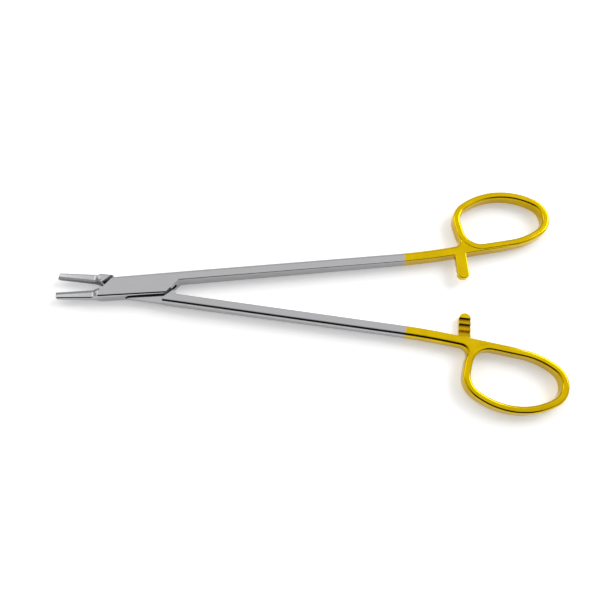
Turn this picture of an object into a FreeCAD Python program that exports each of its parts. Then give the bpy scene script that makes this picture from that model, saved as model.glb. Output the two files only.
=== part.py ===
import FreeCAD, Part
import math
import os
import Sketcher

# A surgical needle holder of the box-lock kind, lying open on its side. Two forged arms cross at the
# lock: the web of the through arm passes between the two cheeks of the box arm and turns there on a
# flush pin. Each arm runs from a short straight jaw, faced with a brazed carbide insert, through a
# slim shank to a ratchet tab and a finger ring.
#
# Millimetres. Origin: the pin's axis on the underside of the lock. +X runs along the axis of symmetry
# to the rings, +Y to the box arm's ring and +Z up. Each arm is drawn with the holder closed, its own
# handle on one side of the X axis and its jaw on the other, and is then turned open about the pin.

SIZES = [
    # The lock
    ("open_half_angle", 5.0, "each arm's turn from closed, degrees"),
    ("lock_thickness", 5.6, "thickness of the box lock"),
    ("slot_height", 1.9, "height of the slot between the cheeks"),
    ("web_play", 0.05, "gap above and below the web"),
    ("slot_play", 0.1, "gap beside the web when closed"),
    ("shoulder_gap", 0.15, "gap between the shoulders when closed"),
    ("stop_angle", 36.0, "turn from closed to fully open, degrees"),
    ("lock_front", 13.5, "pin to the foot of the lock's front edge"),
    ("lock_front_top", 9.3, "pin to the top of the lock's front edge"),
    ("lock_side", 3.2, "pin to the lock's side below the jaw line"),
    ("lock_rear", 8.6, "pin to the lock's rear corner"),
    ("crotch_along", 13.5, "pin to the crotch of the shanks, along"),
    ("crotch_across", 1.45, "axis to the shank's inner side at the crotch"),
    ("neck_along", 5.0, "pin to the narrow of the web, along"),
    ("neck_across", 2.9, "pin to the narrow of the web, across"),
    ("web_side", 2.75, "pin to the web's stop side"),
    ("slot_front", 5.6, "pin to the front end of the slot's open side"),
    ("web_corner", 3.9, "pin to the web's front corner, along"),
    ("pin_radius", 1.5, "radius of the pin"),
    ("pin_play", 0.03, "running gap round the pin in the web"),
    ("pin_head_radius", 2.1, "radius of the pin's flush heads"),
    ("pin_head_depth", 0.6, "depth of the pin's flush heads"),
    # The jaws
    ("jaw_length", 30.2, "pin to the jaw's tip"),
    ("jaw_tip_width", 2.3, "the jaw's width at the tip"),
    ("jaw_root", 16.6, "pin to the foot of the jaw's flare"),
    ("jaw_root_width", 3.15, "the jaw's width at the flare"),
    ("jaw_root_thickness", 2.4, "the jaw's thickness at the flare"),
    ("jaw_tip_thickness", 1.75, "the jaw's thickness at the tip"),
    ("flare_end", 14.9, "pin to the full thickness at the flare"),
    ("flare_radius", 1.4, "hollow of the flare"),
    ("jaw_play", 0.03, "each gripping face back from the jaw line"),
    ("tip_round", 0.7, "rounding of the jaw's tip"),
    ("jaw_round", 0.65, "rounding along the jaw's back"),
    ("insert_thickness", 0.9, "thickness of the carbide insert"),
    ("insert_back", 14.1, "pin to the insert's back end"),
    ("groove_pitch", 1.0, "spacing of the insert's grooves"),
    ("groove_width", 0.3, "width of a groove"),
    ("groove_depth", 0.12, "depth of a groove"),
    ("groove_slant", 32.0, "slant of the grooves from across the jaw, degrees"),
    ("groove_count", 17.0, "grooves each way"),
    # The shank
    ("shank_outer", 4.6, "axis to the outer side, measured at the pin"),
    ("shank_angle", 1.72, "the shank's lean from the axis, degrees"),
    ("bend_along", 101.0, "pin to the bend before the ring"),
    ("bend_angle", 6.0, "the lean after the bend, degrees"),
    ("bend_radius", 240.0, "radius of that bend"),
    ("taper_start", 15.0, "where the shank starts to thin"),
    ("taper_length", 73.0, "length over which it thins"),
    ("taper_blend", 90.0, "rounding of both ends of the taper"),
    ("neck_thickness", 4.4, "thickness from there to the ring's neck"),
    ("outer_round", 1.25, "rounding of the outer side's edges"),
    ("side_round", 0.8, "rounding of the lock side's edges"),
    ("inner_round", 0.3, "rounding of the inner side's edges and the tab's rim"),
    # The finger ring
    ("ring_past_bend", 30.95, "bend to the ring's centre"),
    ("ring_rise", 11.45, "the ring's centre past the line of the shank's inner side"),
    ("ring_half_length", 16.45, "centre to the wire's middle, along"),
    ("ring_half_width", 9.87, "centre to the wire's middle, across"),
    ("ring_end_radius", 7.0, "bend of the ring's ends"),
    ("ring_lean", 8.0, "lean of the wire down to the neck, degrees"),
    ("ring_neck_radius", 7.5, "bend of the wire at the neck"),
    ("wire_width", 2.6, "the ring wire's width"),
    ("wire_height", 4.6, "the ring wire's height"),
    ("wire_round", 0.8, "rounding of the wire's corners"),
    ("corner_inset", 0.25, "the neck's outer wall back from the wire's side"),
    ("corner_round", 2.5, "rounding of that corner"),
    ("neck_rise", 4.8, "height of the neck's wall up the ring"),
    ("neck_flat", 0.2, "flat beside the rounding of that wall"),
    ("fade_angle", 30.0, "where the web ends round the ring, degrees"),
    # The ratchet
    ("tab_back", 17.1, "the ring's centre back to the middle of the ratchet tab"),
    ("tab_width", 4.0, "width of the tab"),
    ("tab_reach", 3.8, "how far the tab passes the axis"),
    ("tab_root_round", 0.5, "rounding of the corners at the tab's root"),
    ("tab_play", 0.06, "gap from each row of teeth to the middle plane"),
    ("tooth_pitch", 2.25, "pitch of the ratchet teeth"),
    ("tooth_depth", 0.75, "depth of the ratchet teeth"),
    ("tooth_ramp", 1.75, "length of a tooth's slope"),
    ("tooth_first", 2.15, "first tooth's steep side past the axis"),
    ("tooth_count", 3.0, "teeth on each tab"),
]


class Size:
    """A length or angle that carries its value and the spreadsheet expression behind it."""

    def __init__(self, text, value):
        self.text = text
        self.value = value

    @staticmethod
    def of(other):
        return other if isinstance(other, Size) else Size(f"({other})", float(other))

    def join(self, sign, other, value):
        return Size(f"({self.text} {sign} {Size.of(other).text})", value)

    def __add__(self, other):
        return self.join("+", other, self.value + Size.of(other).value)

    def __sub__(self, other):
        return self.join("-", other, self.value - Size.of(other).value)

    def __mul__(self, other):
        return self.join("*", other, self.value * Size.of(other).value)

    def __truediv__(self, other):
        return self.join("/", other, self.value / Size.of(other).value)

    def __radd__(self, other):
        return Size.of(other) + self

    def __rsub__(self, other):
        return Size.of(other) - self

    def __rmul__(self, other):
        return Size.of(other) * self

    def __neg__(self):
        return -1 * self


def sin(angle):
    return Size(f"sin({angle.text} * 1deg)", math.sin(math.radians(angle.value)))


def cos(angle):
    return Size(f"cos({angle.text} * 1deg)", math.cos(math.radians(angle.value)))


def tan(angle):
    return Size(f"tan({angle.text} * 1deg)", math.tan(math.radians(angle.value)))


# The spreadsheets: driving sizes as plain numbers, and the places worked out from them
doc = FreeCAD.newDocument("needle_holder")
sheet = doc.addObject("Spreadsheet::Sheet", "sizes")
worked = doc.addObject("Spreadsheet::Sheet", "places")
size = {}
for row, (name, value, meaning) in enumerate(SIZES, start=1):
    sheet.set(f"A{row}", name)
    sheet.set(f"B{row}", str(value))
    sheet.set(f"C{row}", meaning)
    sheet.setAlias(f"B{row}", name)
    size[name] = Size(f"sizes.{name}", value)
doc.recompute()


def place(name, worked_out):
    """Keeps a worked-out length in the second sheet and returns it under its own name."""
    row = len([cell for cell in worked.getUsedCells() if cell.startswith("A")]) + 1
    worked.set(f"A{row}", name)
    worked.set(f"B{row}", "=" + worked_out.text.replace("sizes.", "<<sizes>>."))
    worked.setAlias(f"B{row}", name)
    return Size(f"places.{name}", worked_out.value)


middle = place("middle_plane", size["lock_thickness"] / 2)


# Sketch helpers
def plane(body, role):
    return next(feature for feature in body.Origin.OriginFeatures if feature.Role == role)


def blank_sketch(body, name, role, offset=None):
    """A sketch on one of the body's own planes, moved along the plane's normal by the offset."""
    sketch = body.newObject("Sketcher::SketchObject", name)
    sketch.AttachmentSupport = [(plane(body, role), "")]
    sketch.MapMode = "FlatFace"
    if offset is not None:
        sketch.setExpression("AttachmentOffset.Base.z", offset.text)
    return sketch


def rule(sketch, kind, *parts):
    """Adds a constraint, and binds it to its size when the last part is one."""
    if isinstance(parts[-1], Size):
        value = parts[-1].value
        if kind == "Angle":
            value = math.radians(value)
        index = sketch.addConstraint(Sketcher.Constraint(kind, *parts[:-1], value))
        unit = " * 1deg" if kind == "Angle" else ""
        sketch.setExpression(f"Constraints[{index}]", parts[-1].text + unit)
    else:
        sketch.addConstraint(Sketcher.Constraint(kind, *parts))


def pin_point(sketch, geometry, end, point):
    """Holds one point of a sketch at its two distances from the sketch's origin."""
    rule(sketch, "DistanceX", -1, 1, geometry, end, Size.of(point[0]))
    rule(sketch, "DistanceY", -1, 1, geometry, end, Size.of(point[1]))


def outline(sketch, corners):
    """A closed outline of straight sides. A corner given as (x, y, radius) is rounded."""
    count = len(corners)
    spots = [FreeCAD.Vector(Size.of(c[0]).value, Size.of(c[1]).value, 0) for c in corners]
    starts, ends, bends = [], [], []
    for i, corner in enumerate(corners):
        back = (spots[i - 1] - spots[i]).normalize()
        ahead = (spots[(i + 1) % count] - spots[i]).normalize()
        if len(corner) == 2:
            ends.append(spots[i])
            starts.append(spots[i])
            bends.append(None)
            continue
        radius = corner[2].value
        half = back.getAngle(ahead) / 2
        reach = radius / math.tan(half)
        centre = spots[i] + (back + ahead).normalize() * (radius / math.sin(half))
        ends.append(spots[i] + back * reach)
        starts.append(spots[i] + ahead * reach)
        bends.append((centre, radius, back.cross(ahead).z < 0))
    first = sketch.GeometryCount
    for i in range(count):
        sketch.addGeometry(Part.LineSegment(starts[i], ends[(i + 1) % count]), False)
    for i, corner in enumerate(corners):
        line_in = first + (i - 1) % count
        line_out = first + i
        if bends[i] is None:
            rule(sketch, "Coincident", line_in, 2, line_out, 1)
            pin_point(sketch, line_out, 1, corner)
            continue
        centre, radius, turns_left = bends[i]
        angles = [math.atan2(p.y - centre.y, p.x - centre.x) for p in (ends[i], starts[i])]
        low, high = angles if turns_left else angles[::-1]
        circle = Part.Circle(centre, FreeCAD.Vector(0, 0, 1), radius)
        arc = sketch.addGeometry(Part.ArcOfCircle(circle, low, high), False)
        tip = sketch.addGeometry(Part.Point(spots[i]), True)
        rule(sketch, "Tangent", line_in, 2, arc, 1 if turns_left else 2)
        rule(sketch, "Tangent", arc, 2 if turns_left else 1, line_out, 1)
        rule(sketch, "PointOnObject", tip, 1, line_in)
        rule(sketch, "PointOnObject", tip, 1, line_out)
        pin_point(sketch, tip, 1, corner)
        rule(sketch, "Radius", arc, corner[2])


def pad(body, name, sketch, length):
    feature = body.newObject("PartDesign::Pad", name)
    feature.Profile = sketch
    feature.setExpression("Length", length.text)
    return feature


def cut_through(body, name, sketch):
    """A pocket through everything on both sides of its sketch."""
    feature = body.newObject("PartDesign::Pocket", name)
    feature.Profile = sketch
    feature.SideType = "Symmetric"
    feature.Type = "ThroughAll"
    return feature


def cut_deep(body, name, sketch, depth, upwards):
    """A pocket from its sketch plane along the plane's normal, or against it."""
    feature = body.newObject("PartDesign::Pocket", name)
    feature.Profile = sketch
    feature.Type = "Length"
    feature.Reversed = upwards
    feature.setExpression("Length", depth.text)
    return feature


def round_edges(body, name, base, radius, chosen):
    """Rounds the edges of the base feature that pass the test chosen(start, middle, end)."""
    names = []
    for number, edge in enumerate(base.Shape.Edges, start=1):
        half_way = edge.valueAt((edge.FirstParameter + edge.LastParameter) / 2)
        corners = [vertex.Point for vertex in edge.Vertexes]
        if len(corners) == 2 and chosen(corners[0], half_way, corners[1]):
            names.append(f"Edge{number}")
    if not names:
        raise SystemExit(f"{name}: no edge to round")
    feature = body.newObject("PartDesign::Fillet", name)
    feature.Base = (base, names)
    feature.setExpression("Radius", radius.text)
    return feature


def built(feature, before, grows=False):
    """Builds a feature, and stops if a cut removed nothing or an added piece added nothing."""
    doc.recompute()
    change = feature.Shape.Volume - before.Shape.Volume
    if (change < 0.1) if grows else (change > -0.01):
        raise SystemExit(f"{feature.Name} changed the volume by {change:.4f}")
    return feature


# Places along an arm, with its own handle side counted positive
lean = size["shank_angle"]
after = size["bend_angle"]
bend_outer = place("bend_outer", size["shank_outer"] + size["bend_along"] * tan(lean))
bend_inner = place(
    "bend_inner",
    size["crotch_across"] + (size["bend_along"] - size["crotch_along"]) * tan(lean),
)


def outer_after(x):
    return bend_outer + (x - size["bend_along"]) * tan(after)


def inner_after(x):
    return bend_inner + (x - size["bend_along"]) * tan(after)


# The ring's centre lies past the bend, off the line of the shank's inner side
ring_along = place("ring_along", size["bend_along"] + size["ring_past_bend"])
ring_across = place("ring_across", inner_after(ring_along) + size["ring_rise"])
tab_along = place("tab_along", ring_along - size["tab_back"])

# The ring wire's middle line is a flat oval of four arcs: two end bends and two long flanks
end_radius = size["ring_end_radius"]
half_length = size["ring_half_length"]
half_width = size["ring_half_width"]
flank_radius = place(
    "flank_radius",
    (half_length * half_length + half_width * half_width - 2 * half_length * end_radius)
    / (2 * (half_width - end_radius)),
)
flank_centre = place("flank_centre", ring_across + flank_radius - half_width)

# The shank's own straight runs on as a tangent to the lower flank
touch_along = place("touch_along", ring_along + flank_radius * sin(after))
touch_across = place("touch_across", flank_centre - flank_radius * cos(after))

# The near end bend leaves as a straight that leans down to the neck
ring_lean = size["ring_lean"]
leave_along = place(
    "leave_along",
    ring_along - half_length + end_radius - end_radius * cos(ring_lean),
)
leave_across = place("leave_across", ring_across - end_radius * sin(ring_lean))

# Where those two straights would meet
run_back = place(
    "run_back",
    ((touch_along - leave_along) * cos(ring_lean) + (touch_across - leave_across) * sin(ring_lean))
    / cos(ring_lean - after),
)
meet_along = place("meet_along", touch_along - run_back * cos(after))
meet_across = place("meet_across", touch_across - run_back * sin(after))


# The neck's outer wall runs beside the wire and stops with a flat as wide as its rounding needs
wall_off = place("wall_off", size["wire_width"] / 2 - size["corner_inset"])
hole_off = place("hole_off", size["outer_round"] + size["neck_flat"] - wall_off)


def beside_steep(off, drop):
    """A point beside the wire's straight, off its middle line and below the near end bend."""
    return (
        leave_along + drop * sin(ring_lean) + off * cos(ring_lean),
        leave_across - drop * cos(ring_lean) + off * sin(ring_lean),
    )


# The corner where that wall meets the shank's outer side
wall_foot_x, wall_foot_y = beside_steep(-wall_off, 0)
corner_drop = place(
    "corner_drop",
    (wall_foot_y - outer_after(wall_foot_x)) * cos(after) / cos(ring_lean - after),
)
corner_x, corner_y = beside_steep(-wall_off, corner_drop)
corner_along = place("corner_along", corner_x)
corner_across = place("corner_across", corner_y)
neck_top = place("neck_top", corner_drop - size["neck_rise"])


def plan_corners():
    """The arm seen from above, closed: jaw, lock, shank and the web in the ring's neck."""
    slope = tan(lean)
    front_top = size["shank_outer"] - size["lock_front_top"] * slope
    fade = size["fade_angle"]
    past = size["wire_width"] / 5
    end_x = ring_along + flank_radius * sin(fade) + past * cos(fade)
    end_y = flank_centre - flank_radius * cos(fade) + past * sin(fade)
    blunt = size["wire_width"] / 9
    open_up = hole_off / cos(ring_lean - after)
    run_x = touch_along + size["wire_width"]
    run_y = touch_across + size["wire_width"] * tan(after) + hole_off / cos(after)
    return [
        (-size["jaw_length"], -size["jaw_play"]),
        (-size["lock_front"], -size["jaw_play"]),
        (-size["lock_front_top"], front_top),
        (size["bend_along"], bend_outer, size["bend_radius"]),
        (corner_along, corner_across, size["corner_round"]),
        beside_steep(-wall_off, neck_top),
        beside_steep(hole_off, neck_top),
        (
            meet_along + open_up * (cos(after) - sin(ring_lean)),
            meet_across + open_up * (sin(after) + cos(ring_lean)),
            size["ring_neck_radius"],
        ),
        (run_x, run_y, flank_radius),
        (end_x, end_y),
        (end_x + blunt * sin(fade), end_y - blunt * cos(fade)),
        (touch_along, inner_after(touch_along), flank_radius),
        (size["bend_along"], bend_inner, size["bend_radius"]),
        (size["crotch_along"], size["crotch_across"]),
        (size["lock_rear"], -size["lock_side"]),
        (-size["flare_end"], -size["lock_side"]),
        (-size["jaw_root"], -size["jaw_root_width"]),
        (-size["jaw_length"], -size["jaw_tip_width"], size["tip_round"]),
    ]


def profile_cuts(sketch):
    """What is cut away above and below, seen from the side: over the jaw and over the shank."""
    beyond = size["lock_thickness"]
    thick = size["lock_thickness"] / 2
    far = ring_along + size["ring_half_length"]
    root = size["jaw_root_thickness"] / 2
    tip = size["jaw_tip_thickness"] / 2
    jaw_end = size["jaw_length"] + beyond
    grow = (root - tip) / (size["jaw_length"] - size["jaw_root"])
    taper_end = size["taper_start"] + size["taper_length"]
    for up in (1, -1):
        def level(height):
            return middle + up * height
        outline(sketch, [
            (-jaw_end, level(tip - grow * beyond)),
            (-size["jaw_root"], level(root), size["flare_radius"]),
            (-size["flare_end"], level(thick)),
            (-size["flare_end"], level(thick + beyond)),
            (-jaw_end, level(thick + beyond)),
        ])
        outline(sketch, [
            (0, level(thick + beyond)),
            (0, level(thick + beyond / 100)),
            (size["taper_start"], level(thick), size["taper_blend"]),
            (taper_end, level(size["neck_thickness"] / 2), size["taper_blend"]),
            (far, level(size["neck_thickness"] / 2)),
            (far, level(thick + beyond)),
        ])


def mirrored(corners, side):
    return [(x, side * Size.of(y), *rest) for x, y, *rest in corners]


def wire_path(body, name, side):
    """The closed middle line of the ring wire, from the middle of its outer flank."""
    sketch = blank_sketch(body, name, "XY_Plane", middle)
    cx = ring_along.value
    cy = ring_across.value
    half = half_length.value - end_radius.value
    flank = flank_radius.value
    drop = flank - half_width.value
    swing = math.atan2(half, drop)
    neck = size["ring_neck_radius"].value
    tangent = neck / math.tan((math.pi / 2 + math.radians(ring_lean.value - after.value)) / 2)
    turn = math.radians(after.value)
    tilt = math.radians(ring_lean.value)
    meet = FreeCAD.Vector(meet_along.value, meet_across.value, 0)
    along = FreeCAD.Vector(math.cos(turn), math.sin(turn), 0)
    up = FreeCAD.Vector(-math.sin(tilt), math.cos(tilt), 0)
    flat_end = meet + along * tangent
    steep_end = meet + up * tangent
    neck_centre = flat_end + FreeCAD.Vector(-along.y, along.x, 0) * neck
    touch = FreeCAD.Vector(touch_along.value, touch_across.value, 0)
    leave = FreeCAD.Vector(leave_along.value, leave_across.value, 0)

    def arc(centre, radius, start, end):
        """An arc from start to end, anticlockwise as drawn on the handle side."""
        angles = [math.atan2(p.y - centre.y, p.x - centre.x) * side for p in (start, end)]
        low, high = angles if side > 0 else angles[::-1]
        flat = Part.Circle(flip(centre), FreeCAD.Vector(0, 0, 1), radius)
        return sketch.addGeometry(Part.ArcOfCircle(flat, low, high), False)

    def flip(point):
        return FreeCAD.Vector(point.x, side * point.y, 0)

    first, last = (1, 2) if side > 0 else (2, 1)
    low_centre = FreeCAD.Vector(cx, cy - drop, 0)
    high_centre = FreeCAD.Vector(cx, cy + drop, 0)
    right = FreeCAD.Vector(cx + half, cy, 0)
    left = FreeCAD.Vector(cx - half, cy, 0)
    crown = FreeCAD.Vector(cx, cy + half_width.value, 0)
    step = FreeCAD.Vector(math.sin(swing), math.cos(swing), 0) * flank
    join_right = low_centre + step
    join_left = FreeCAD.Vector(2 * cx - join_right.x, join_right.y, 0)
    join_low = FreeCAD.Vector(join_right.x, 2 * cy - join_right.y, 0)
    crown_left = arc(low_centre, flank, crown, join_left)
    near_end = arc(left, end_radius.value, join_left, leave)
    steep = sketch.addGeometry(Part.LineSegment(flip(leave), flip(steep_end)), False)
    neck_arc = arc(neck_centre, neck, steep_end, flat_end)
    flat_run = sketch.addGeometry(Part.LineSegment(flip(flat_end), flip(touch)), False)
    low_flank = arc(high_centre, flank, touch, join_low)
    far_end = arc(right, end_radius.value, join_low, join_right)
    crown_right = arc(low_centre, flank, join_right, crown)

    rule(sketch, "DistanceX", -1, 1, crown_left, 3, ring_along)
    level = side * ring_across
    reach = half_length - end_radius
    pin_point(sketch, crown_left, first, (ring_along, level + side * half_width))
    pin_point(sketch, near_end, 3, (ring_along - reach, level))
    rule(sketch, "Radius", near_end, end_radius)
    rule(sketch, "Tangent", crown_left, last, near_end, first)
    rule(sketch, "Tangent", near_end, last, steep, 1)
    rule(sketch, "Tangent", steep, 2, neck_arc, first)
    rule(sketch, "Radius", neck_arc, size["ring_neck_radius"])
    rule(sketch, "Tangent", neck_arc, last, flat_run, 1)
    rule(sketch, "Tangent", flat_run, 2, low_flank, first)
    rule(sketch, "DistanceX", -1, 1, low_flank, 3, ring_along)
    rule(sketch, "Equal", low_flank, crown_left)
    rule(sketch, "Tangent", low_flank, last, far_end, first)
    pin_point(sketch, far_end, 3, (ring_along + reach, level))
    rule(sketch, "Coincident", far_end, last, crown_right, first)
    rule(sketch, "Coincident", crown_right, last, crown_left, first)
    rule(sketch, "Coincident", crown_right, 3, crown_left, 3)
    rule(sketch, "DistanceX", -1, 1, steep, 1, leave_along)
    rule(sketch, "DistanceX", -1, 1, flat_run, 2, touch_along)
    return sketch


def wire_section(body, name, side):
    """The flat, round-cornered cross-section of the ring wire, standing at the crown of the ring."""
    sketch = blank_sketch(body, name, "YZ_Plane", ring_along)
    across = side * (ring_across + half_width)
    wide = size["wire_width"] / 2
    high = size["wire_height"] / 2
    bend = size["wire_round"]
    outline(sketch, [
        (across - wide, middle - high, bend),
        (across + wide, middle - high, bend),
        (across + wide, middle + high, bend),
        (across - wide, middle + high, bend),
    ])
    return sketch


def finger_ring(body, side):
    """The ring wire, swept round its closed middle line."""
    path = wire_path(body, body.Name + "_wire_path", side)
    section = wire_section(body, body.Name + "_wire_section", side)
    wire = body.newObject("PartDesign::AdditivePipe", body.Name + "_ring")
    wire.Profile = section
    wire.Spine = (path, [f"Edge{i}" for i in range(1, 9)])
    return wire


def ratchet_tab(body, side, above):
    """The half-thickness tab. It reaches across the axis, above or below the middle plane."""
    thick = size["neck_thickness"] / 2 - size["tab_play"]
    floor = middle + size["tab_play"] if above else middle - size["neck_thickness"] / 2
    half = size["tab_width"] / 2
    x = tab_along
    root = inner_after(x) + size["shank_outer"] / 4
    sketch = blank_sketch(body, body.Name + "_tab_plan", "XY_Plane", floor)
    outline(sketch, mirrored([
        (x - half, root),
        (x - half, -size["tab_reach"], half * 0.96),
        (x + half, -size["tab_reach"], half * 0.96),
        (x + half, root),
    ], side))
    return pad(body, body.Name + "_tab", sketch, thick)


def ratchet_teeth(body, side, above, base):
    """Saw teeth across the tab's face on the middle plane."""
    up = 1 if above else -1
    face = middle + up * size["tab_play"]
    start = -size["tooth_first"]
    sketch = blank_sketch(body, body.Name + "_tooth_profile", "YZ_Plane", tab_along)
    low = face - up * size["tab_play"]
    outline(sketch, [
        (side * start, low),
        (side * start, face),
        (side * (start + size["tooth_pitch"] - size["tooth_ramp"]), face + up * size["tooth_depth"]),
        (side * (start + size["tooth_pitch"]), face),
        (side * (start + size["tooth_pitch"]), low),
    ])
    tooth = body.newObject("PartDesign::Pocket", body.Name + "_tooth")
    tooth.Profile = sketch
    tooth.SideType = "Symmetric"
    tooth.Type = "Length"
    tooth.setExpression("Length", (size["tab_width"] * 2).text)
    built(tooth, base)
    row = body.newObject("PartDesign::LinearPattern", body.Name + "_teeth")
    row.Originals = [tooth]
    row.Direction = (plane(body, "Y_Axis"), [""])
    row.Reversed = side < 0
    row.setExpression("Length", (size["tooth_pitch"] * (size["tooth_count"] - 1)).text)
    row.setExpression("Occurrences", size["tooth_count"].text)
    body.Tip = row
    return built(row, tooth)


def outer_wall(x):
    """Across the arm at x: where the shank's outer side lies."""
    turn = lean if x < size["bend_along"].value else after
    return bend_outer.value + (x - size["bend_along"].value) * math.tan(math.radians(turn.value))


def inner_wall(x):
    return outer_wall(x) - bend_outer.value + bend_inner.value


def is_rim(start, end):
    """True for an edge that stays above or below the middle plane, clear of it."""
    low, high = sorted((start.z - middle.value, end.z - middle.value))
    return low > 0.1 or high < -0.1


def round_lock_side(body, side, blank):
    """Rounds the lock's side and the jaw's back, while the blank is still of one thickness."""
    rear = size["lock_rear"].value + 1e-6
    back = 1e-6 - size["jaw_tip_width"].value

    def on_back(start, half_way, end):
        level = abs(start.z - end.z) < 1e-6
        return level and max(start.x, end.x) < rear and max(side * start.y, side * end.y) < back

    edges = round_edges(body, body.Name + "_lock_round", blank, size["side_round"], on_back)
    return built(edges, blank)


def round_outer_side(body, side, base):
    """Rounds the outer side from the lock's front to the corner before the ring."""
    front = -size["lock_front_top"].value - 0.1
    wall_end = beside_steep(-wall_off, neck_top)[1].value - 0.1

    def on_outer(start, half_way, end):
        across = side * half_way.y
        along = front < min(start.x, end.x) and half_way.x < corner_along.value + 0.1
        on_side = outer_wall(half_way.x) - 0.1 < across < wall_end
        return along and on_side and is_rim(start, end)

    edges = round_edges(body, body.Name + "_outer_round", base, size["outer_round"], on_outer)
    return built(edges, base)


def round_inner_side(body, side, base):
    """Rounds the inner side from the crotch to where the web fades into the ring, and the tab's rim."""
    crotch = size["crotch_along"].value - 0.1
    fade = ring_along.value + flank_radius.value * math.sin(math.radians(size["fade_angle"].value))
    tab_front = tab_along.value - size["tab_width"].value / 2 - size["tab_root_round"].value
    tab_back = tab_along.value + size["tab_width"].value / 2 + size["tab_root_round"].value
    outer_face = size["neck_thickness"].value / 2

    def on_inner(start, half_way, end):
        across = side * half_way.y
        on_tab = tab_front < half_way.x < tab_back and across < inner_wall(half_way.x) + 0.05
        if on_tab:
            return min(abs(p.z - middle.value) for p in (start, end)) > outer_face - 0.02
        along = crotch < min(start.x, end.x) and max(start.x, end.x) < touch_along.value + 0.1
        return along and is_rim(start, end) and abs(across - inner_wall(half_way.x)) < 0.2

    edges = round_edges(body, body.Name + "_inner_round", base, size["inner_round"], on_inner)
    return built(edges, base)


def round_tab_roots(body, side, base):
    """Rounds the two corners between the tab's sides and the shank."""
    def on_root(start, half_way, end):
        upright = abs(start.x - end.x) + abs(start.y - end.y) < 1e-6
        near = abs(abs(half_way.x - tab_along.value) - size["tab_width"].value / 2) < 0.01
        return upright and near and abs(side * half_way.y - inner_wall(half_way.x)) < 0.2

    edges = round_edges(body, body.Name + "_tab_roots", base, size["tab_root_round"], on_root)
    return built(edges, base, grows=True)


def round_jaw(body, side, base):
    """Rounds the jaw's back, from the tip to the hollow of the flare."""
    back = 0.02 - size["jaw_tip_width"].value
    root = 0.5 - size["jaw_root"].value

    def on_jaw(start, half_way, end):
        lengthwise = abs(start.z - end.z) < 0.5 and abs(start.x - end.x) > 1
        return lengthwise and half_way.x < root and side * half_way.y < back

    edges = round_edges(body, body.Name + "_jaw_round", base, size["jaw_round"], on_jaw)
    return built(edges, base)


def arm(name, side, above):
    """A whole forged arm before the lock is cut: blank, tab, rounded edges, ring and teeth."""
    body = doc.addObject("PartDesign::Body", name)
    plan = blank_sketch(body, name + "_plan", "XY_Plane")
    outline(plan, mirrored(plan_corners(), side))
    blank = pad(body, name + "_blank", plan, size["lock_thickness"])
    doc.recompute()
    edges = round_lock_side(body, side, blank)
    profile = blank_sketch(body, name + "_profile", "XZ_Plane")
    profile_cuts(profile)
    thinned = built(cut_through(body, name + "_thinned", profile), edges)
    tab = built(ratchet_tab(body, side, above), thinned, grows=True)
    edges = round_tab_roots(body, side, tab)
    edges = round_inner_side(body, side, edges)
    edges = round_outer_side(body, side, edges)
    edges = round_jaw(body, side, edges)
    ring = built(finger_ring(body, side), edges, grows=True)
    return body, ratchet_teeth(body, side, above, ring)


# Half the web's width at its waist falls evenly from beside the pin to the crotch
neck_fall = place(
    "neck_fall",
    (size["neck_across"] - size["jaw_play"]) / (size["crotch_along"] - size["neck_along"]),
)
neck_meets_stop = place(
    "neck_meets_stop",
    size["neck_along"] + (size["neck_across"] - size["web_side"]) / neck_fall,
)


def neck(x):
    return size["neck_across"] - (x - size["neck_along"]) * neck_fall


# The front edge of the lock rises from the jaw line at its foot to the outer side
front_top_across = place("front_top_across", size["shank_outer"] - size["lock_front_top"] * tan(lean))
front_run = place("front_run", (size["lock_front"] - size["lock_front_top"]) / front_top_across)
beyond = size["lock_thickness"] * 1.5


def cut_slot(body, base):
    """Opens the slot between the cheeks: closed at the two corners that tie the cheeks together."""
    stop = size["web_side"] + size["slot_play"]
    stop_x = stop * tan(size["stop_angle"] / 2)
    far = size["crotch_along"] + 1
    slant_x = beyond * cos(size["stop_angle"])
    slant_y = beyond * sin(size["stop_angle"])
    sketch = blank_sketch(body, "slot_plan", "XY_Plane", middle)
    outline(sketch, [
        (-size["lock_front"], -size["jaw_play"] - size["slot_play"]),
        (-size["slot_front"], -neck(size["slot_front"]) - size["slot_play"]),
        (-size["slot_front"], -beyond),
        (far, -beyond),
        (far, neck(far) + size["slot_play"]),
        (neck_meets_stop, stop),
        (stop_x, stop),
        (stop_x - slant_x, stop + slant_y),
        (-size["lock_front"], stop + slant_y),
    ])
    slot = body.newObject("PartDesign::Pocket", "slot")
    slot.Profile = sketch
    slot.SideType = "Symmetric"
    slot.Type = "Length"
    slot.setExpression("Length", size["slot_height"].text)
    return built(slot, base)


def shoulder(y):
    """The front shoulder of the through arm, at a distance y to its jaw side of the axis."""
    return y * front_run - size["lock_front"] - size["shoulder_gap"]


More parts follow.
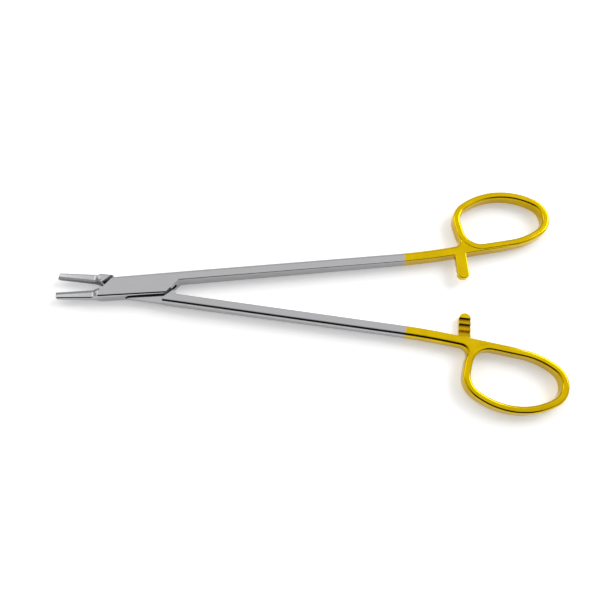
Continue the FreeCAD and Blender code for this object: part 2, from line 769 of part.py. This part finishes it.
def cut_web(body, side, base):
    """Thins the through arm to its web between the two shoulders, and trims the web's two corners."""
    rear = size["lock_rear"] + size["shoulder_gap"]
    crotch = size["crotch_along"] + size["shoulder_gap"]
    between = mirrored([
        (-size["lock_front"] - size["shoulder_gap"], 0),
        (shoulder(beyond), -beyond),
        (crotch, -beyond),
        (crotch, -size["crotch_across"]),
        (rear, size["lock_side"]),
        (rear, beyond),
        (-size["lock_front"] - size["shoulder_gap"], beyond),
    ], side)
    web = size["slot_height"] - 2 * size["web_play"]
    depth = (size["lock_thickness"] - web) / 2
    above = blank_sketch(body, "web_top_plan", "XY_Plane", size["lock_thickness"])
    outline(above, between)
    top = built(cut_deep(body, "web_top", above, depth, upwards=False), base)
    below = blank_sketch(body, "web_under_plan", "XY_Plane", Size.of(0))
    outline(below, between)
    under = built(cut_deep(body, "web_under", below, depth, upwards=True), top)

    corner_across = size["shank_outer"] - size["web_corner"] * tan(lean)
    front = blank_sketch(body, "web_front_plan", "XY_Plane")
    outline(front, mirrored([
        (-size["lock_front"], -size["jaw_play"]),
        (-size["neck_along"], size["neck_across"]),
        (-size["web_corner"], corner_across),
        (-size["web_corner"], beyond),
        (-size["lock_front"], beyond),
    ], side))
    front_trim = built(cut_through(body, "web_front", front), under)
    stop_side = blank_sketch(body, "web_stop_plan", "XY_Plane")
    outline(stop_side, mirrored([
        (shoulder(size["web_side"]), -size["web_side"]),
        (neck_meets_stop, -size["web_side"]),
        (size["crotch_along"], -size["jaw_play"]),
        (size["crotch_along"], -beyond),
        (shoulder(beyond), -beyond),
    ], side))
    stop_trim = built(cut_through(body, "web_stop", stop_side), front_trim)

    bore = blank_sketch(body, "web_bore_plan", "XY_Plane")
    ring = Part.Circle(FreeCAD.Vector(0, 0, 0), FreeCAD.Vector(0, 0, 1), size["pin_radius"].value)
    circle = bore.addGeometry(ring, False)
    rule(bore, "Coincident", circle, 3, -1, 1)
    rule(bore, "Radius", circle, size["pin_radius"] + size["pin_play"])
    built(cut_through(body, "web_bore", bore), stop_trim)


def pin_profile(body):
    """Half of the pin's section: a plain shaft with a flush countersunk head at each end."""
    sketch = blank_sketch(body, body.Name + "_pin_section", "XZ_Plane")
    top = size["lock_thickness"]
    outline(sketch, [
        (0, 0),
        (size["pin_head_radius"], 0),
        (size["pin_radius"], size["pin_head_depth"]),
        (size["pin_radius"], top - size["pin_head_depth"]),
        (size["pin_head_radius"], top),
        (0, top),
    ])
    return sketch


def turned(body, kind, name, sketch):
    """A full turn of the sketch about the pin's axis."""
    feature = body.newObject(kind, name)
    feature.Profile = sketch
    feature.ReferenceAxis = (plane(body, "Z_Axis"), [""])
    feature.Angle = 360
    return feature


def open_out(piece, label, side):
    """Names a finished piece and turns it from closed to the open rest position."""
    piece.Label = label
    piece.Placement = FreeCAD.Placement(FreeCAD.Vector(0, 0, 0), FreeCAD.Vector(0, 0, 1), 0)
    piece.setExpression("Placement.Rotation.Angle", f"{side} * sizes.open_half_angle * 1deg")
    return piece


def jaw_face_block(name, side):
    """The space that the carbide insert takes from the jaw."""
    block = doc.addObject("Part::Box", name)
    block.setExpression("Length", (size["jaw_length"] - size["insert_back"] + 1).text)
    block.setExpression("Width", (size["insert_thickness"] + 1).text)
    block.setExpression("Height", (size["lock_thickness"] + 2).text)
    block.setExpression("Placement.Base.x", (-size["jaw_length"] - 1).text)
    low = -size["insert_thickness"] if side > 0 else Size.of(-1)
    block.setExpression("Placement.Base.y", low.text)
    block.setExpression("Placement.Base.z", "-1")
    return block


def grooved(body, name, side, slant, base):
    """One set of parallel grooves across the insert's gripping face."""
    half = size["lock_thickness"] / 2
    lean_x = half * tan(size["groove_slant"]) * slant
    x = -size["jaw_length"] + size["groove_pitch"] / 2
    wide = size["groove_width"] / 2
    sketch = blank_sketch(body, name + "_strip", "XZ_Plane")
    outline(sketch, [
        (x - lean_x - wide, 0),
        (x - lean_x + wide, 0),
        (x + lean_x + wide, size["lock_thickness"]),
        (x + lean_x - wide, size["lock_thickness"]),
    ])
    depth = size["groove_depth"] + size["jaw_play"]
    groove = built(cut_deep(body, name, sketch, depth, upwards=side > 0), base)
    row = body.newObject("PartDesign::LinearPattern", name + "_row")
    row.Originals = [groove]
    row.Direction = (plane(body, "X_Axis"), [""])
    row.setExpression("Length", (size["groove_pitch"] * (size["groove_count"] - 1)).text)
    row.setExpression("Occurrences", size["groove_count"].text)
    body.Tip = row
    return built(row, groove)


def jaw_pieces(forging, name, label, side):
    """Splits the insert from the jaw, and grooves its face."""
    block = jaw_face_block(name + "_face_block", side)
    finished = doc.addObject("Part::Cut", name)
    finished.Base = forging
    finished.Tool = block
    blank = doc.addObject("Part::Common", name + "_insert_blank")
    blank.Base = forging
    blank.Tool = block
    doc.recompute()
    insert = doc.addObject("PartDesign::Body", name + "_insert")
    insert.BaseFeature = blank
    doc.recompute()
    one_way = grooved(insert, name + "_groove", side, 1, blank)
    grooved(insert, name + "_cross_groove", side, -1, one_way)
    open_out(finished, name, side)
    open_out(insert, label, side)
    return finished, insert


box_forging, box_teeth = arm("box_forging", 1, True)
slot = cut_slot(box_forging, box_teeth)
seat = turned(box_forging, "PartDesign::Groove", "pin_seat", pin_profile(box_forging))
built(seat, slot)
through_forging, through_teeth = arm("through_forging", -1, False)
cut_web(through_forging, -1, through_teeth)
box_arm, box_insert = jaw_pieces(box_forging, "box_arm", "box_jaw_insert", 1)
through_arm, through_insert = jaw_pieces(through_forging, "through_arm", "through_jaw_insert", -1)
pin = doc.addObject("PartDesign::Body", "pin")
turned(pin, "PartDesign::Revolution", "pin_solid", pin_profile(pin))
pin.Label = "pivot_pin"
doc.recompute()

# Checked, then written out one file a piece
for thing in doc.Objects:
    if {"Invalid", "Error"} & set(thing.State):
        raise SystemExit(f"{thing.Label} is {thing.State}")
pieces = [box_arm, through_arm, pin, box_insert, through_insert]
for piece in pieces:
    if piece.Shape.isNull() or not piece.Shape.isValid() or len(piece.Shape.Solids) != 1:
        raise SystemExit(f"{piece.Label} is not one valid solid")
os.makedirs("parts", exist_ok=True)
for piece in pieces:
    piece.Shape.exportStep(f"parts/{piece.Label}.step")
    print(piece.Label, round(piece.Shape.Volume, 2), "mm3")
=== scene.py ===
# %% [markdown]
# Surgical needle holder, dressed for its picture
#
# A needle holder is forged from stainless steel. Its handles are plated with gold, which tells
# the surgeon that the jaws are faced with carbide. The solids come from the CAD frame and already
# have the true shape, so this lesson is about finish and light. Metal has hardly any colour of
# its own: it shows the room. So the room comes first, and each finish is then judged in it.

# %% Load the frame
import math

import bpy
from mathutils import Matrix, Vector


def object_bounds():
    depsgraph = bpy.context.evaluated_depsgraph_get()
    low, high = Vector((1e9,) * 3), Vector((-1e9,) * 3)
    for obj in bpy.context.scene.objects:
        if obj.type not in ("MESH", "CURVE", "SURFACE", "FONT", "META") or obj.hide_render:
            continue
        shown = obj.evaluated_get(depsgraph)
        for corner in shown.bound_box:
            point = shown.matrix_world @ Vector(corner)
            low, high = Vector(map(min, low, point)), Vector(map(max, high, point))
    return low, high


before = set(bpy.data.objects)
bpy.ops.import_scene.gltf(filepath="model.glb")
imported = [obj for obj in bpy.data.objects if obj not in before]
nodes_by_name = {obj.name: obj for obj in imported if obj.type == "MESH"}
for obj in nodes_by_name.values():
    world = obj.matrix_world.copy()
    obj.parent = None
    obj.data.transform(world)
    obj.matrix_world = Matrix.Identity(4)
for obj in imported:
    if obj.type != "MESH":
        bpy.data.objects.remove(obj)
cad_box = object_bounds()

MIDDLE = (cad_box[0] + cad_box[1]) / 2
MIDDLE.z = 0
print("pieces:", sorted(nodes_by_name))
print("middle of the holder, on the table:", MIDDLE)

# %% [markdown]
# The camera
#
# The holder was photographed from almost straight above, leaning a little towards its lower
# handle. The camera could be aimed with a tracking constraint, but the picture is also turned by
# a degree and a half, so the three directions of the camera are written out: to its right, up,
# and back.

# %% Place the camera
EYE = Vector((0.05855, -0.0762, 0.2071))
SIGHT = Vector((-0.0091, 0.3380, -0.9411)).normalized()
TURN = math.radians(1.54)
SENSOR_MM = 36
LENS_MM = 36.8
NEAREST_SEEN = 0.01


def place_camera():
    right = Vector((math.cos(TURN), math.sin(TURN), 0))
    back = -SIGHT
    up = back.cross(right).normalized()
    right = up.cross(back)
    lens = bpy.data.cameras.new("camera")
    lens.sensor_width = SENSOR_MM
    lens.lens = LENS_MM
    lens.clip_start = NEAREST_SEEN
    camera = bpy.data.objects.new("camera", lens)
    axes = Matrix((right, up, back)).transposed().to_4x4()
    camera.matrix_world = Matrix.Translation(EYE) @ axes
    bpy.context.scene.collection.objects.link(camera)
    bpy.context.scene.camera = camera
    print("camera height above the table:", round(EYE.z, 4), "m")


place_camera()

# %% [markdown]
# Writing a finish as a sum
#
# A finish is a small sum: so much steel, so much gold, a little grain. Shader nodes can be wired
# by hand in the editor, but a long sum is easier to read as Python. The class below wraps one
# socket, and its operators add the Math nodes. Every other node comes from one method, which
# takes the node's type, its settings and the values or wires of its sockets. A colour isn't added
# or multiplied there: it goes through a Mix node.

# %% A socket that can be added and multiplied


class Wire:
    """One output of a node. Without a socket it can only make nodes."""

    def __init__(self, tree, socket=None):
        self.tree = tree
        self.socket = socket

    def output(self, name):
        """Another output of the same node."""
        return Wire(self.tree, self.socket.node.outputs[name])

    def node(self, kind, settings=None, inputs=None, output=0):
        made = self.tree.nodes.new(kind)
        for name, value in (settings or {}).items():
            setattr(made, name, value)
        for name, value in (inputs or {}).items():
            if isinstance(value, Wire):
                self.tree.links.new(value.socket, made.inputs[name])
            else:
                made.inputs[name].default_value = value
        return Wire(self.tree, made.outputs[output]) if made.outputs else None

    def math(self, operation, *values):
        return self.node("ShaderNodeMath", {"operation": operation}, dict(enumerate(values)))

    def __add__(self, other):
        return self.math("ADD", self, other)

    def __sub__(self, other):
        return self.math("SUBTRACT", self, other)

    def __rsub__(self, other):
        return self.math("SUBTRACT", other, self)

    def __mul__(self, other):
        return self.math("MULTIPLY", self, other)

    __radd__ = __add__
    __rmul__ = __mul__

    def steps(self, low, high):
        """0 below the low value, 1 above the high one, smooth between."""
        return self.node(
            "ShaderNodeMapRange",
            {"interpolation_type": "SMOOTHSTEP"},
            {"Value": self, "From Min": low, "From Max": high},
        )

    def between(self, low, high):
        """The low value where the wire is 0 and the high one where it is 1."""
        return low + self * (high - low)


print("wires can be added, subtracted and multiplied")

# %% [markdown]
# The table
#
# Catalogue pictures are taken on white paper that curves up behind the object, so no edge shows.
# A plane with a bent back would do for one view. Here the paper is one wide disc whose rim curls
# up all round, so every side view has it too. It lies a hair under the holder, so that the two
# never share a surface.

# %% The shape of the paper
PAPER_FLAT = 1.1
PAPER_RIM = 0.5
PAPER_RISE = 0.36
PAPER_UNDER = 0.00002
AROUND = 96
UP_THE_RIM = 14


def paper_rings():
    """Radius and height of each ring of points, from the middle outwards."""
    rings = [(PAPER_FLAT / 2, 0), (PAPER_FLAT, 0)]
    for step in range(1, UP_THE_RIM + 1):
        swing = step / UP_THE_RIM * math.pi / 2
        rings.append((PAPER_FLAT + PAPER_RIM * math.sin(swing), PAPER_RISE * (1 - math.cos(swing))))
    return rings


print("paper reaches", paper_rings()[-1][0], "m and rises", round(paper_rings()[-1][1], 3), "m")

# %% Make the paper


def paper_mesh():
    rings = paper_rings()
    points = [(MIDDLE.x, MIDDLE.y, -PAPER_UNDER)]
    faces = []
    for radius, height in rings:
        for k in range(AROUND):
            angle = 2 * math.pi * k / AROUND
            along, across = radius * math.cos(angle), radius * math.sin(angle)
            points.append((MIDDLE.x + along, MIDDLE.y + across, height - PAPER_UNDER))
    for k in range(AROUND):
        after = (k + 1) % AROUND
        faces.append((0, 1 + k, 1 + after))
        for ring in range(len(rings) - 1):
            low = 1 + ring * AROUND
            high = low + AROUND
            faces.append((low + k, high + k, high + after, low + after))
    mesh = bpy.data.meshes.new("paper")
    mesh.from_pydata(points, [], faces)
    mesh.polygons.foreach_set("use_smooth", [True] * len(mesh.polygons))
    return mesh


paper = bpy.data.objects.new("paper", paper_mesh())
bpy.context.scene.collection.objects.link(paper)
print("paper:", len(paper.data.polygons), "faces")

# %% [markdown]
# White paper that keeps its shadow
#
# Paper under plain light renders a little below white. More light would wash out the metal, so
# the paper gets a touch of glow of its own. Only the camera, and whatever is shiny, sees the
# glow, so it lights nothing, and the shadow still shows on it.

# %% A tree to fill, and a blend of two colours


def new_tree(owner):
    owner.use_nodes = True
    owner.node_tree.nodes.clear()
    return Wire(owner.node_tree)


def blend_colours(share, first, second):
    """The first colour where share is 0 and the second where it is 1."""
    return share.node(
        "ShaderNodeMix",
        {"data_type": "RGBA", "blend_type": "MIX"},
        {0: share, 6: first, 7: second},
        output=2,
    )


print("colours blend in a Mix node, because a Math node would turn them grey")

# %% Finish the paper
PAPER_COLOUR = (0.96, 0.96, 0.96, 1)
PAPER_ROUGH = 0.9
PAPER_GLOW = 0.3
BLACK = (0, 0, 0, 1)
WHITE = (1, 1, 1, 1)


def finish_paper():
    material = bpy.data.materials.new("paper")
    make = new_tree(material)
    rays = make.node("ShaderNodeLightPath")
    looked_at = rays.output("Is Camera Ray") + rays.output("Is Glossy Ray")
    looked_at = (looked_at + rays.output("Is Transmission Ray")).steps(0, 1)
    sheet = make.node(
        "ShaderNodeBsdfPrincipled",
        inputs={
            "Base Color": PAPER_COLOUR,
            "Roughness": PAPER_ROUGH,
            "Specular IOR Level": 0.0,
            "Emission Color": blend_colours(looked_at, BLACK, WHITE),
            "Emission Strength": PAPER_GLOW,
        },
    )
    make.node("ShaderNodeOutputMaterial", inputs={"Surface": sheet})
    return material


paper.data.materials.append(finish_paper())
print("paper glows at", PAPER_GLOW, "of white")

# %% [markdown]
# The soft box
#
# A photographer lights polished steel with a big soft box, because the metal mirrors it as a calm
# grey. It hangs above and behind the holder, where the flat tops mirror it towards the camera. A
# point lamp would show as a hard spot in each piece.

# %% Hang the soft box
BOX_AT = MIDDLE + Vector((0, 0.42, 0.76))
BOX_WIDE = 1.5
BOX_DEEP = 0.66
BOX_LEVEL = 0.33


def area_light(name, at, wide, deep, level):
    """A lamp aimed at the holder. At level 1 a mirror shows it as white."""
    lamp = bpy.data.lights.new(name, "AREA")
    lamp.shape = "RECTANGLE"
    lamp.size = wide
    lamp.size_y = deep
    lamp.energy = level * math.pi * wide * deep
    holder = bpy.data.objects.new(name, lamp)
    back = (at - MIDDLE).normalized()
    up = back.cross(Vector((1, 0, 0))).normalized()
    right = up.cross(back)
    axes = Matrix((right, up, back)).transposed().to_4x4()
    holder.matrix_world = Matrix.Translation(at) @ axes
    bpy.context.scene.collection.objects.link(holder)
    print(name, "power:", round(lamp.energy, 2), "W")


area_light("soft_box", BOX_AT, BOX_WIDE, BOX_DEEP, BOX_LEVEL)

# %% [markdown]
# The side lamps
#
# The soft box alone gives the paper hardly any shadow. Two stronger lamps stand behind the
# holder, one to its left and one to its right. One lamp straight behind would be mirrored as a
# white line by every rounded edge along the shanks. A shank never mirrors what stands to its
# side, so these two light the paper and draw the shadow, and only the finger rings catch a
# highlight from them. The left lamp is the weaker one, because the shoulders of the jaws face it.

# %% Stand the side lamps
LAMP_ASIDE = 0.82
LAMP_BEHIND = 0.52
LAMP_UP = 0.74
LAMP_SIZE = 0.62
LAMPS = {"lamp_left": (-1, 1.1), "lamp_right": (1, 5.0)}

for name, (sign, level) in LAMPS.items():
    lamp_at = MIDDLE + Vector((sign * LAMP_ASIDE, LAMP_BEHIND, LAMP_UP))
    area_light(name, lamp_at, LAMP_SIZE, LAMP_SIZE, level)

# %% [markdown]
# The room
#
# What the holder mirrors besides the lamps and the paper is the room. It is pale behind the
# holder, to its sides and low down all round, like the walls of a studio. Only high up on the
# viewer's side is it dark, as if a black card hung there. The card draws the black line along the
# rounded edge of the lower shank, and the thin dark lines round the rings. A plain grey room
# would make the metal look like plastic.

# %% Tint the room
ROOM_DARK = (0.006, 0.006, 0.006, 1)
ROOM_PALE = (0.72, 0.72, 0.72, 1)
DARK_TO_PALE_BACKWARDS = (-0.2, -0.03)
PALE_TO_DARK_UPWARDS = (0.22, 0.38)
DARK_TO_PALE_ASIDE = (0.46, 0.64)


def tint_room():
    world = bpy.data.worlds.new("room")
    bpy.context.scene.world = world
    make = new_tree(world)
    way = make.node("ShaderNodeTexCoord")
    sideways = make.node("ShaderNodeSeparateXYZ", inputs={0: way}, output=0)
    backwards = make.node("ShaderNodeSeparateXYZ", inputs={0: way}, output=1)
    upwards = make.node("ShaderNodeSeparateXYZ", inputs={0: way}, output=2)
    behind = backwards.steps(*DARK_TO_PALE_BACKWARDS)
    low_down = 1 - upwards.steps(*PALE_TO_DARK_UPWARDS)
    aside = sideways.math("ABSOLUTE", sideways).steps(*DARK_TO_PALE_ASIDE)
    pale = behind.math("MAXIMUM", behind, low_down)
    pale = pale.math("MAXIMUM", pale, aside)
    tone = blend_colours(pale, ROOM_DARK, ROOM_PALE)
    walls = make.node("ShaderNodeBackground", inputs={"Color": tone, "Strength": 1.0})
    make.node("ShaderNodeOutputWorld", inputs={"Surface": walls})


tint_room()
print("room from", ROOM_DARK[0], "to", ROOM_PALE[0])

# %% [markdown]
# Steel and gold
#
# Both metals are nearly plain, so their colours are chosen first, as they would be read from a
# swatch. Forged steel is a neutral grey that varies by a few shades. The gold is deep and a
# little orange where the plating is thicker. Each metal gets a second shade, so that no surface
# is flat paint.

# %% Pick the metals' colours


def colour(red, green, blue):
    """A colour as read from a swatch, 0 to 255, turned into light."""
    light = []
    for level in (red, green, blue):
        part = level / 255
        light.append(part / 12.92 if part <= 0.04045 else ((part + 0.055) / 1.055) ** 2.4)
    return (*light, 1.0)


STEEL = colour(180, 180, 181)
STEEL_DARK = colour(168, 168, 170)
GOLD = colour(214, 181, 13)
GOLD_DEEP = colour(204, 170, 6)
print("steel reflects", round(STEEL[0], 2), "and gold", round(GOLD[0], 2), "of red light")

# %% [markdown]
# Grain
#
# Forgings are brushed along their length, which leaves fine streaks. An image of scratches would
# have to be mapped on every face. A noise that is stretched along the arm needs no mapping. The
# same noise, not stretched, gives the soft clouds of the plating and the grains of the carbide.

# %% Streaks and clouds
EVEN = (1, 1, 1)
ALONG_THE_ARM = (0.03, 1, 1)
LAYERS = {"Detail": 4.0, "Roughness": 0.6}


def grain(make, place, stretch, fineness):
    """Noise from 0 to 1, drawn out along the axes whose stretch is small."""
    stretched = make.node("ShaderNodeMapping", inputs={"Vector": place, "Scale": stretch})
    return make.node(
        "ShaderNodeTexNoise",
        {"noise_dimensions": "3D"},
        {"Vector": stretched, "Scale": fineness, **LAYERS},
    )


def own_place(make):
    """Where a point lies on the piece itself, in metres."""
    return make.node("ShaderNodeTexCoord").output("Object")


print("a streak is", round(1 / ALONG_THE_ARM[0]), "times as long as it is wide")

# %% [markdown]
# Plated handles
#
# The arms are one forging each. Their steel is satin along the shank, and the handles are then
# masked, plated with gold and polished. The plating could be a second skin of faces, but it is
# only micrometres thick, so it is one finish with a border: beyond a set distance from the pin,
# gold. The distance is measured on the piece itself, so the border stays put when the holder
# opens. Each arm's place is first turned back by the five degrees that the holder lies open, so
# the streaks run along it.

# %% Where the plating begins
OPENED = math.radians(5)
ARMS = {"box_arm": (OPENED, 0.0948), "through_arm": (-OPENED, 0.0943)}
PLATED_SOFT = 0.0004
PLATED_WANDER = 0.0006
FLATTENED = (1, 1, 0)


def gold_share(make, place, clouds, plated_from):
    """1 on the plated handle and 0 on the bare shank."""
    flat = make.node("ShaderNodeVectorMath", {"operation": "MULTIPLY"}, {0: place, 1: FLATTENED})
    reach = make.node("ShaderNodeVectorMath", {"operation": "LENGTH"}, {0: flat}, output=1)
    border = reach + (clouds - 0.5) * PLATED_WANDER
    return border.steps(plated_from - PLATED_SOFT, plated_from + PLATED_SOFT)


for arm, (opened, plated_from) in ARMS.items():
    print(arm, "is plated from", round(plated_from * 1000, 1), "mm beyond the pin")

# %% A metal skin


def metal_skin(make, tone, rough, height, bump):
    dent = make.node("ShaderNodeBump", inputs={**bump, "Height": height})
    skin = make.node(
        "ShaderNodeBsdfPrincipled",
        inputs={"Base Color": tone, "Metallic": 1.0, "Roughness": rough, "Normal": dent},
    )
    make.node("ShaderNodeOutputMaterial", inputs={"Surface": skin})


def dress(node, material):
    """Puts the finish on every slot of a CAD piece."""
    for slot in nodes_by_name[node].material_slots:
        slot.material = material
    print(node, "wears", material.name)


print("every metal here has tone, roughness and a little height")

# %% Forged arms, plated handles
STREAKS = 2600.0
CLOUDS = 160.0
STREAKS_IN_TONE = 0.7
DEEP_TO_BRIGHT_GOLD = (0.35, 0.7)
STEEL_ROUGH = (0.12, 0.20)
GOLD_ROUGH = (0.10, 0.15)
ARM_BUMP = {"Strength": 0.06, "Distance": 0.00005}


def finish_arm(name, opened, plated_from):
    material = bpy.data.materials.new("plated_" + name)
    make = new_tree(material)
    place = make.node(
        "ShaderNodeVectorRotate",
        {"rotation_type": "Z_AXIS"},
        {"Vector": own_place(make), "Angle": -opened},
    )
    streaks = grain(make, place, ALONG_THE_ARM, STREAKS)
    clouds = grain(make, place, EVEN, CLOUDS)
    plated = gold_share(make, place, clouds, plated_from)
    tone = streaks * STREAKS_IN_TONE + clouds * (1 - STREAKS_IN_TONE)
    steel = blend_colours(tone, STEEL_DARK, STEEL)
    gold = blend_colours(clouds.steps(*DEEP_TO_BRIGHT_GOLD), GOLD_DEEP, GOLD)
    rough = streaks.between(*STEEL_ROUGH) * (1 - plated) + clouds.between(*GOLD_ROUGH) * plated
    height = streaks * (1 - plated) + clouds * plated
    metal_skin(make, blend_colours(plated, steel, gold), rough, height, ARM_BUMP)
    return material


for arm, (opened, plated_from) in ARMS.items():
    dress(arm, finish_arm(arm, opened, plated_from))

# %% [markdown]
# The pin
#
# The pin is pressed in and ground flush with the lock, so its ends hardly show. It is the same
# steel, but the grinding marks run in circles about its axis. They could be cut as grooves, but
# they are far too shallow to have a shape of their own, so a wave of rings draws them.

# %% Ground pin
RINGS = {"Scale": 900.0, "Distortion": 1.5, "Detail": 2.0}
PIN_ROUGH = (0.19, 0.24)
PIN_BUMP = {"Strength": 0.02, "Distance": 0.00003}


def finish_pin():
    material = bpy.data.materials.new("ground_pin")
    make = new_tree(material)
    marks = make.node(
        "ShaderNodeTexWave",
        {"wave_type": "RINGS", "rings_direction": "Z"},
        {"Vector": own_place(make), **RINGS},
        output=1,
    )
    tone = blend_colours(marks, STEEL_DARK, STEEL)
    metal_skin(make, tone, marks.between(*PIN_ROUGH), marks, PIN_BUMP)
    return material


dress("pivot_pin", finish_pin())

# %% [markdown]
# Carbide
#
# The gripping faces are sintered carbide, brazed to the jaws. Carbide is greyer than steel and
# looks dull, because its surface is made of tiny grains. A fine noise in the roughness and in the
# height of the surface gives that grain. The grooves are deep enough to see, so they are in the
# solids.

# %% Sintered inserts
CARBIDE = colour(150, 150, 152)
CARBIDE_DARK = colour(112, 112, 115)
GRAINS = 5200.0
DARK_TO_PALE_GRAINS = (0.3, 0.7)
CARBIDE_ROUGH = (0.36, 0.52)
CARBIDE_BUMP = {"Strength": 0.15, "Distance": 0.00004}


def finish_carbide():
    material = bpy.data.materials.new("sintered_carbide")
    make = new_tree(material)
    grains = grain(make, own_place(make), EVEN, GRAINS)
    tone = blend_colours(grains.steps(*DARK_TO_PALE_GRAINS), CARBIDE_DARK, CARBIDE)
    metal_skin(make, tone, grains.between(*CARBIDE_ROUGH), grains, CARBIDE_BUMP)
    return material


carbide = finish_carbide()
for insert in ("box_jaw_insert", "through_jaw_insert"):
    dress(insert, carbide)

# %% [markdown]
# The last look
#
# A view transform made for films would grey the white paper, so the plain one is used. The box
# around the CAD pieces, measured when they were loaded, is printed.

# %% Plain view and the CAD box
bpy.context.scene.view_settings.view_transform = "Standard"
print("CAD box:", cad_box)
